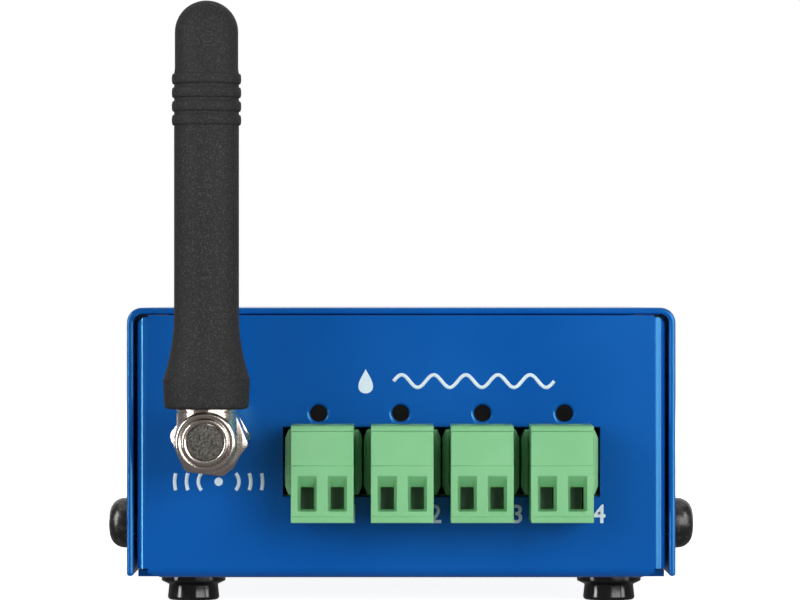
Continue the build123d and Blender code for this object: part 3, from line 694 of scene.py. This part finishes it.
def black_zinc():
    """Black plating on steel, rubbed to grey where a driver has been."""
    material, place = new_finish("black plated steel")
    rub = spread(noise(place, 1500.0, 4.0), 0.5, 0.8)
    close_finish(place, {
        "Base Color": rub.between((0.05, 0.049, 0.048), (0.16, 0.155, 0.15)),
        "Metallic": 0.75,
        "Roughness": 0.3 + 0.2 * rub,
        "Normal": relief(noise(place, 3500.0), 0.006 * MM),
    })
    return material


HEAD_RADIUS = 3.0
HEAD_HEIGHT = 2.5
HEAD_EDGE = 0.55
HEAD_FOOT = 0.1
HEAD_ROUNDNESS = 0.6
HEAD_STEPS = 10
SHANK_RADIUS = 1.47
SHANK_LENGTH = 5.0
SHANK_POINT = 0.4
RECESS_LONG = 3.1
RECESS_WIDE = 0.62
RECESS_DEEP = 1.3
RECESS_ABOVE = 0.3
RECESS_FLOOR_LONG = 0.45
RECESS_FLOOR_WIDE = 0.7
RECESS_TURN = 35
screw_outline = [
    (0, -SHANK_LENGTH), (SHANK_RADIUS - SHANK_POINT, -SHANK_LENGTH),
    (SHANK_RADIUS, -SHANK_LENGTH + SHANK_POINT), (SHANK_RADIUS, 0),
    (HEAD_RADIUS - HEAD_FOOT, 0), (HEAD_RADIUS, HEAD_FOOT),
]
for step in range(HEAD_STEPS):
    turn = radians(90 * step / HEAD_STEPS)
    dome_height = HEAD_EDGE + (HEAD_HEIGHT - HEAD_EDGE) * sin(turn)
    screw_outline.append((HEAD_RADIUS * cos(turn) ** HEAD_ROUNDNESS, dome_height))
screw_outline.append((0, HEAD_HEIGHT))


def cross_recess():
    """Two crossed wedges that the driver's point fills."""
    shape = bmesh.new()
    for turn in (0, 90):
        wedge = bmesh.ops.create_cube(shape, size=MM)["verts"]
        for corner in wedge:
            low = corner.co.z < 0
            corner.co.x *= RECESS_LONG * (RECESS_FLOOR_LONG if low else 1.0)
            corner.co.y *= RECESS_WIDE * (RECESS_FLOOR_WIDE if low else 1.0)
            corner.co.z = (HEAD_HEIGHT + (-RECESS_DEEP if low else RECESS_ABOVE)) * MM
        bmesh.ops.rotate(shape, verts=wedge, cent=(0, 0, 0), matrix=Matrix.Rotation(radians(turn), 3, "Z"))
    return mesh_of("cross_recess", shape)


screw_mesh = combined("pan_head_screw", turned("screw_blank", screw_outline), "DIFFERENCE", cross_recess())
screw_mesh.transform(Matrix.Rotation(radians(RECESS_TURN), 4, "Z"))
screw_mesh.transform(Matrix.Rotation(radians(90), 4, "Y"))
screw_low, screw_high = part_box("cover_screws")
screws_across = screw_high.x - screw_low.x - 2 * HEAD_HEIGHT * MM
screws_along = screw_high.y - screw_low.y - 2 * HEAD_RADIUS * MM
screws_mesh = grown("cover_screws_pan_head", screw_mesh, GRID, {
    "Spacing": (screws_across, screws_along, 0),
    "Centre": (screw_low + screw_high) / 2,
    "Face Out": True,
    "Finish": black_zinc(),
})
smooth(screws_mesh, sharp_angle=40)
show("cover_screws_pan_head", screws_mesh, "case", ["cover_screws"])


# Plugs
# Pluggable screw terminals in the headers' green plastic. Each has two wire windows that narrow to an entry,
# with a cage behind it, painted dark as the shade in the window, and a tinned contact and screw.


def dull_steel():
    """Stained steel, its colour painted dark as the shade inside the plugs' wire windows."""
    material, place = new_finish("steel painted dark as shade")
    stain = spread(noise(place, 1200.0, 3.0), 0.35, 0.75)
    close_finish(place, {
        "Base Color": stain.between((0.035, 0.034, 0.032), (0.085, 0.082, 0.078)),
        "Metallic": 0.9,
        "Roughness": 0.45 + 0.2 * stain,
    })
    return material


SHADED_CAGE = dull_steel()
PLUG_EDGE = 0.09 * MM
for channel in CHANNELS:
    eased(f"plug_housing_{channel}", f"plug_{channel}", GREEN, PLUG_EDGE)
    # The cages are painted dark, as the shade inside the wire windows.
    dress(f"plug_clamps_{channel}", SHADED_CAGE)
    dress(f"plug_contacts_{channel}", TIN)
    dress(f"plug_screws_{channel}", TIN)


# Antenna elbow
# A right-angle plug, turned and nickel plated: the coupling nut holds it to the jack, and an upright
# stem carries the sleeve. A rough dark disc is pressed into its front end.


def dark_disc():
    """Dark pitted metal."""
    material, place = new_finish("dark rough metal")
    pits = noise(place, 4200.0, 4.0)
    close_finish(place, {
        "Base Color": spread(pits, 0.35, 0.7).between((0.018, 0.017, 0.015), (0.16, 0.15, 0.13)),
        "Metallic": 0.3,
        "Roughness": 0.5 + 0.2 * pits,
        "Normal": relief(pits, 0.05 * MM),
    })
    return material


COUPLING_START = 3.6
COUPLING_LENGTH = 7.4
COUPLING_TURN = -7.0
COUPLING_CLEARANCE = 0.05
coupling_bore = JACK_RADIUS + COUPLING_CLEARANCE
coupling_mesh = chamfered_nut("coupling_nut_chamfered", COUPLING_LENGTH, coupling_bore, COUPLING_TURN)
out_of_panel(coupling_mesh, COUPLING_START)
show("coupling_nut_chamfered", coupling_mesh, "case", ["coupling_nut"])

ELBOW_RADIUS = 3.5
ELBOW_START = 11.3
ELBOW_END = 20.0
ELBOW_CHAMFER = 0.15
SHOULDER_RADIUS = 3.05
SHOULDER_START = 8.73
SHOULDER_END = 9.65
NECK_RADIUS = 2.6
SEAT_RADIUS = 2.1
SEAT_DEPTH = 0.6
OUTER_ROLL = 0.42
OUTER_ROLL_BACK = 0.6
INNER_ROLL = 0.32
outer_roll_centre = (ELBOW_RADIUS - OUTER_ROLL, ELBOW_END - OUTER_ROLL_BACK)
inner_roll_centre = (SEAT_RADIUS + INNER_ROLL, ELBOW_END - INNER_ROLL)
barrel_outline = [
    (0, SHOULDER_START), (SHOULDER_RADIUS, SHOULDER_START), (SHOULDER_RADIUS, SHOULDER_END),
    (NECK_RADIUS, SHOULDER_END), (NECK_RADIUS, ELBOW_START),
    (ELBOW_RADIUS - ELBOW_CHAMFER, ELBOW_START), (ELBOW_RADIUS, ELBOW_START + ELBOW_CHAMFER),
]
barrel_outline += arc(outer_roll_centre, OUTER_ROLL, 0, 130, steps=10)
barrel_outline += arc(inner_roll_centre, INNER_ROLL, 30, 180, steps=10)
barrel_outline += [(SEAT_RADIUS, ELBOW_END - SEAT_DEPTH), (0, ELBOW_END - SEAT_DEPTH)]
barrel_mesh = out_of_panel(turned("elbow_barrel", barrel_outline))

STEM_RADIUS = 3.45
STEM_OUT = 16.3
STEM_TOP = 4.0
COLLAR_RADIUS = 3.5
COLLAR_LOW = -0.15
GROOVE_RADIUS = 3.25
GROOVE_LOW = -0.4
GROOVE_SLOPE = 0.05
sleeve_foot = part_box("antenna_sleeve")[0].z
upright = Matrix.Translation((jack_x, panel_front - STEM_OUT * MM, sleeve_foot))
stem_foot = (jack_z - sleeve_foot) / MM
stem_mesh = turned("elbow_stem", [
    (0, stem_foot), (STEM_RADIUS, stem_foot), (STEM_RADIUS, GROOVE_LOW),
    (GROOVE_RADIUS, GROOVE_LOW + GROOVE_SLOPE), (GROOVE_RADIUS, COLLAR_LOW),
    (COLLAR_RADIUS, COLLAR_LOW), (COLLAR_RADIUS, STEM_TOP), (0, STEM_TOP),
])
stem_mesh.transform(upright)
elbow_mesh = combined("elbow_turned", barrel_mesh, "UNION", stem_mesh)
smooth(elbow_mesh, sharp_angle=30)
elbow_mesh.materials.clear()
elbow_mesh.materials.append(NICKEL)
show("elbow_turned", elbow_mesh, "antenna", ["elbow_body"])

DISC_RADIUS = 2.05
DISC_BACK = 0.65
DISC_RIM = 0.35
DISC_ROUND = 0.1
DISC_CROWN = 0.22
disc_outline = [(0, ELBOW_END - DISC_BACK), (DISC_RADIUS, ELBOW_END - DISC_BACK)]
disc_outline += arc((DISC_RADIUS - DISC_ROUND, ELBOW_END - DISC_RIM), DISC_ROUND, 0, 90)
disc_outline.append((0, ELBOW_END - DISC_CROWN))
disc_mesh = out_of_panel(turned("elbow_disc", disc_outline))
disc_mesh.materials.append(dark_disc())
show("elbow_disc", disc_mesh, "antenna", ["elbow_cap"])
dress("elbow_insulator", INSULATOR)
dress("elbow_pin", GOLD)


# Antenna sleeve
# One moulding of black rubber over the stem and the radiating strip: a thick base, a flare into the shaft,
# four grip ribs and a round tip.


def matt_rubber():
    """Matt black rubber, with grey specks painted into its colour as the glints of light on its fine mould
    grain.
    """
    material, place = new_finish("matt black rubber")
    # Painted glints: grey specks in the colour stand for light caught by the grain.
    painted_glints = spread(noise(place, 5200.0), 0.5, 0.8)
    cloud = noise(place, 220.0, 3.0)
    close_finish(place, {
        "Base Color": painted_glints.between((0.021, 0.0205, 0.0205), (0.072, 0.071, 0.070)),
        "Roughness": 0.62 + 0.16 * cloud,
        "Normal": relief(noise(place, 4200.0), 0.03 * MM),
        "Specular IOR Level": 0.2,
    })
    return material


SLEEVE_LOW = 0.02
SLEEVE_HEIGHT = 46.8
BASE_RADIUS = 5.0
BASE_HEIGHT = 3.7
BASE_ROUND = 0.35
BASE_FOOT_RADIUS = 4.85
BASE_FOOT_ROUND = 0.5
FLARE_START = 4.88
FLARE_TOP = 11.2
FLARE_CURVE = 2.1
FLARE_STEPS = 14
SHAFT_RADIUS = 3.72
RIB_COUNT = 4
RIB_PITCH = 1.57
RIB_RADIUS = 3.98
RIB_HALF = 0.6
RIB_ROUNDNESS = 0.5
RIB_STEPS = 12
TOP_RIB = 37.8
TIP_RADIUS = 3.63
TIP_START = 39.0
base_foot = BASE_FOOT_RADIUS - BASE_FOOT_ROUND
lowest_rib = TOP_RIB - (RIB_COUNT - 1) * RIB_PITCH
sleeve_outline = [(0, SLEEVE_LOW), (base_foot, SLEEVE_LOW)]
sleeve_outline += arc((base_foot, SLEEVE_LOW + BASE_FOOT_ROUND), BASE_FOOT_ROUND, -90, 0)
sleeve_outline += arc((BASE_RADIUS - BASE_ROUND, BASE_HEIGHT - BASE_ROUND), BASE_ROUND, 0, 40)
for step in range(1, FLARE_STEPS + 1):
    rise = step / FLARE_STEPS
    flare = (FLARE_START - SHAFT_RADIUS) * (1 - rise) ** FLARE_CURVE
    sleeve_outline.append((SHAFT_RADIUS + flare, BASE_HEIGHT + (FLARE_TOP - BASE_HEIGHT) * rise))
for rib in range(RIB_COUNT):
    middle = lowest_rib + rib * RIB_PITCH
    for step in range(RIB_STEPS + 1):
        turn = radians(180 * step / RIB_STEPS)
        swell = (RIB_RADIUS - SHAFT_RADIUS) * sin(turn) ** RIB_ROUNDNESS
        sleeve_outline.append((SHAFT_RADIUS + swell, middle - RIB_HALF * cos(turn)))
sleeve_outline.append((TIP_RADIUS, TIP_START))
sleeve_outline += arc((0, SLEEVE_HEIGHT - TIP_RADIUS), TIP_RADIUS, 0, 90, steps=16)
sleeve_outline[-1] = (0, SLEEVE_HEIGHT)
sleeve_mesh = turned("antenna_sleeve_moulded", sleeve_outline, segments=96)
sleeve_mesh.transform(upright)
sleeve_mesh.materials.append(matt_rubber())
show("antenna_sleeve_moulded", sleeve_mesh, "antenna", ["antenna_sleeve"])
dress("antenna_radiator", MASK)


# Printed marks
# White ink on the panel: a water drop and a sensing cable over the terminals, a dot that sends out radio
# waves under the jack, and plain channel numbers beside the plugs.


def white_ink():
    """White ink, a little uneven and tinged by the blue under it."""
    material, place = new_finish("white ink")
    cover = spread(noise(place, 1800.0, 3.0), 0.3, 0.7)
    close_finish(place, {
        "Base Color": cover.between((0.70, 0.86, 0.96), (0.80, 0.93, 1.0)),
        "Roughness": 0.4 + 0.1 * cover,
    })
    return material


def stroke_tree():
    """A node tree that draws a flat line of ink along a path in the XZ plane."""
    stroke = ShapeTree("Ink line", {"Path": "Geometry", "Width": "Float", "Thickness": "Float"})
    given = stroke.given
    path = stroke.add("GeometryNodeMeshToCurve", {"Mesh": given["Path"]})
    off_panel = (0.0, 1.0, 0.0)
    upright_path = stroke.add("GeometryNodeSetCurveNormal", {
        "Curve": path["Curve"], "Normal": off_panel,
    }, mode="FREE")
    profile = stroke.add("GeometryNodeCurvePrimitiveQuadrilateral", {
        "Width": given["Thickness"], "Height": given["Width"],
    })
    line = stroke.add("GeometryNodeCurveToMesh", {
        "Curve": upright_path["Curve"], "Profile Curve": profile["Curve"], "Fill Caps": True,
    })
    return stroke.close(line["Mesh"])


INK = white_ink()
INK_THICKNESS = 0.03
LINE_WIDTH = 0.42
STROKE = stroke_tree()


def printed(name, mesh, x, z):
    """Puts flat artwork, drawn about the origin in the XZ plane, on the panel; x and z in millimetres."""
    mesh.transform(Matrix.Translation((x * MM, panel_front, z * MM)))
    show(name, mesh, "case")


def drawn_lines(name, lines):
    """Lines of ink along open paths in the XZ plane, in millimetres."""
    points = [(x * MM, 0, z * MM) for line in lines for x, z in line]
    edges = []
    first = 0
    for line in lines:
        edges += [(first + step, first + step + 1) for step in range(len(line) - 1)]
        first += len(line)
    path = bpy.data.meshes.new(name + "_path")
    path.from_pydata(points, edges, [])
    return grown(name, path, STROKE, {
        "Width": LINE_WIDTH * MM,
        "Thickness": 2 * INK_THICKNESS * MM,
        "Finish": INK,
    })


def filled(name, outline):
    """A filled shape of ink from an outline in the XZ plane, in millimetres."""
    corners = [(x * MM, 0, z * MM) for x, z in outline]
    mesh = prism(name, corners, (0, -INK_THICKNESS * MM, 0))
    mesh.materials.append(INK)
    return mesh


SIGNS_Z = 26.5
CABLE_X = 8.6
CABLE_LENGTH = 19.0
CABLE_WAVES = 5
CABLE_SWING = 0.75
CABLE_STEPS = 100
cable = []
for step in range(CABLE_STEPS + 1):
    swing = CABLE_SWING * sin(2 * pi * CABLE_WAVES * step / CABLE_STEPS)
    cable.append((CABLE_LENGTH * step / CABLE_STEPS - CABLE_LENGTH / 2, swing))
printed("cable_mark", drawn_lines("cable_mark", [cable]), CABLE_X, SIGNS_Z)

DROP_X = -4.2
DROP_RADIUS = 0.95
DROP_TALL = 2.9
DROP_POINT = 1.5
DROP_FULLNESS = 1.3
DROP_STEPS = 48
drop = []
for step in range(1, DROP_STEPS):
    turn = 2 * pi * step / DROP_STEPS
    half_width = DROP_RADIUS * sin(turn) * sin(turn / 2) ** DROP_POINT * DROP_FULLNESS
    drop.append((half_width, DROP_TALL / 2 * cos(turn)))
printed("drop_mark", filled("drop_mark", drop), DROP_X, SIGNS_Z)

AERIAL_X = -21.6
AERIAL_Z = 14.6
AERIAL_DOT = 0.5
DOT_SIDES = 24
WAVE_RADII = (1.5, 2.9, 4.3)
WAVE_HALF_TALL = 1.0
WAVE_SHIFT = 0.9
waves = []
for radius in WAVE_RADII:
    lean = degrees(asin(WAVE_HALF_TALL / radius))
    right_wave = [(x + WAVE_SHIFT, z) for x, z in arc((0, 0), radius, -lean, lean, steps=16)]
    waves += [right_wave, [(-x, z) for x, z in right_wave]]
aerial_dot = arc((0, 0), AERIAL_DOT, 0, 360 - 360 / DOT_SIDES, steps=DOT_SIDES - 1)
printed("aerial_dot_mark", filled("aerial_dot_mark", aerial_dot), AERIAL_X, AERIAL_Z)
printed("mast_mark", drawn_lines("mast_mark", waves), AERIAL_X, AERIAL_Z)

DIGIT_TALL = 2.1
DIGIT_SHARE_OF_SIZE = 0.69
DIGIT_BOLD = 0.05
DIGIT_X = -4.9
DIGIT_PITCH = 9.7
DIGIT_Z = 9.75
for channel in CHANNELS:
    mark = f"number_mark_{channel}"
    words = bpy.data.curves.new(f"number_{channel}", "FONT")
    words.body = str(channel)
    words.size = DIGIT_TALL / DIGIT_SHARE_OF_SIZE * MM
    words.extrude = INK_THICKNESS * MM
    words.offset = DIGIT_BOLD * MM
    words.align_x = "RIGHT"
    number_mesh = cleaned(plain_mesh(mark, bpy.data.objects.new("writer", words)))
    number_mesh.transform(Matrix.Rotation(radians(90), 4, "X"))
    number_mesh.materials.clear()
    number_mesh.materials.append(INK)
    printed(mark, number_mesh, DIGIT_X + DIGIT_PITCH * (channel - 1), DIGIT_Z)


# Studio
# A white floor and white surroundings, soft lamps in front and behind, a strip at each side for the bright
# lines along the folds, and a long lens level with the top of the case, half a metre in front of it.

SEEN = ("Is Camera Ray", "Is Glossy Ray", "Is Transmission Ray")


def seen_directly(start):
    """1 for rays that show the surroundings as they look, and 0 for those that only carry light."""
    rays = [start.node("ShaderNodeLightPath", {}, {}, name) for name in SEEN]
    return start.math("MAXIMUM", start.math("MAXIMUM", rays[0], rays[1]), rays[2])


def studio_sheet(name, material, place, across, along):
    """A flat sheet of the studio, from two vectors that run from its middle to its edges."""
    middle = Vector(place)
    right = Vector(across)
    up = Vector(along)
    mesh = bpy.data.meshes.new(name)
    corners = [middle - right - up, middle + right - up, middle + right + up, middle - right + up]
    mesh.from_pydata(corners, [], [(0, 1, 2, 3)])
    mesh.materials.append(material)
    sheet = bpy.data.objects.new(name, mesh)
    bpy.context.scene.collection.objects.link(sheet)
    return sheet


FLOOR_HALF = 3.0
FLOOR_GLOW = 0.915
floor_finish, floor_place = new_finish("white floor")
paper = noise(floor_place, 30.0).between((0.79, 0.79, 0.79), (0.81, 0.81, 0.81))
matt = floor_place.node("ShaderNodeBsdfDiffuse", {}, {"Color": paper})
glow = floor_place.node("ShaderNodeEmission", {}, {"Strength": seen_directly(floor_place) * FLOOR_GLOW})
both = floor_place.node("ShaderNodeAddShader", {}, {0: matt, 1: glow})
floor_place.node("ShaderNodeOutputMaterial", {}, {"Surface": both})
floor = studio_sheet("floor", floor_finish, (0, 0, 0), (FLOOR_HALF, 0, 0), (0, FLOOR_HALF, 0))
floor.visible_glossy = False

# Dark cards below the set and round it, the rear one low, which show only in what shines.
CARD_HALF = 1.2
CARD_BELOW = 0.6
card_finish, card_place = new_finish("dark card")
shade = noise(card_place, 2.0).between((0.14, 0.13, 0.13), (0.22, 0.21, 0.21))
dark = card_place.node("ShaderNodeEmission", {}, {"Color": shade})
card_place.node("ShaderNodeOutputMaterial", {}, {"Surface": dark})
CARDS = {
    "front_card": ((0, -CARD_HALF, CARD_BELOW), (CARD_HALF, 0, 0), (0, 0, CARD_HALF)),
    "left_card": ((-CARD_HALF, 0, CARD_BELOW), (0, CARD_HALF, 0), (0, 0, CARD_HALF)),
    "right_card": ((CARD_HALF, 0, CARD_BELOW), (0, CARD_HALF, 0), (0, 0, CARD_HALF)),
    "low_card": ((0, 0, -CARD_BELOW), (CARD_HALF, 0, 0), (0, CARD_HALF, 0)),
    "back_card": ((0, CARD_HALF, -CARD_BELOW / 2), (CARD_HALF, 0, 0), (0, 0, CARD_BELOW / 2)),
}
for card_name, (place, across, along) in CARDS.items():
    card = studio_sheet(card_name, card_finish, place, across, along)
    card.visible_camera = False
    card.visible_diffuse = False
    card.visible_shadow = False
    card.visible_transmission = False

AMBIENT = 0.10
WHITE = (1, 1, 1, 1)
world = bpy.data.worlds.new("white surroundings")
world.use_nodes = True
world.node_tree.nodes.clear()
sky = Wire(world.node_tree)
brightness = AMBIENT + (1 - AMBIENT) * seen_directly(sky)
white = sky.node("ShaderNodeBackground", {}, {"Color": WHITE, "Strength": brightness})
sky.node("ShaderNodeOutputWorld", {}, {"Surface": white})
bpy.context.scene.world = world

# Each lamp has its place, its width and height, and its watts.
LAMPS = {
    "right": ((0.42, -0.68, 0.16), (0.60, 0.45), 4.3),
    "left": ((-0.42, -0.68, 0.16), (0.60, 0.45), 3.1),
    "right_side": ((0.60, -0.29, 0.20), (0.20, 0.56), 2.0),
    "left_side": ((-0.58, -0.29, 0.20), (0.16, 0.56), 3.8),
    "back": ((0.10, 0.70, 0.50), (0.60, 0.50), 4.0),
}
AIM = Vector((0.0, -0.02, 0.03))
for lamp_name, (place, (wide, tall), watts) in LAMPS.items():
    lamp = bpy.data.lights.new(lamp_name, "AREA")
    lamp.shape = "RECTANGLE"
    lamp.size = wide
    lamp.size_y = tall
    lamp.energy = watts
    holder = bpy.data.objects.new(lamp_name, lamp)
    holder.location = place
    holder.rotation_euler = (AIM - Vector(place)).to_track_quat("-Z", "Y").to_euler()
    bpy.context.scene.collection.objects.link(holder)
for soft in ("left", "back"):
    bpy.data.objects[soft].visible_glossy = False
for side in ("left_side", "right_side"):
    bpy.data.objects[side].visible_diffuse = False

CAMERA_DISTANCE = 507.0
CAMERA_HEIGHT = 36.1
CAMERA_SIDE = -0.14
LENS_LENGTH = 192.8
SENSOR_WIDTH = 36.0
eye = bpy.data.cameras.new("camera")
eye.lens = LENS_LENGTH
eye.sensor_width = SENSOR_WIDTH
camera = bpy.data.objects.new("camera", eye)
camera.location = (CAMERA_SIDE * MM, panel_front - CAMERA_DISTANCE * MM, CAMERA_HEIGHT * MM)
camera.rotation_euler = (radians(90), 0, 0)
bpy.context.scene.collection.objects.link(camera)
bpy.context.scene.camera = camera
bpy.context.scene.view_settings.view_transform = "Standard"
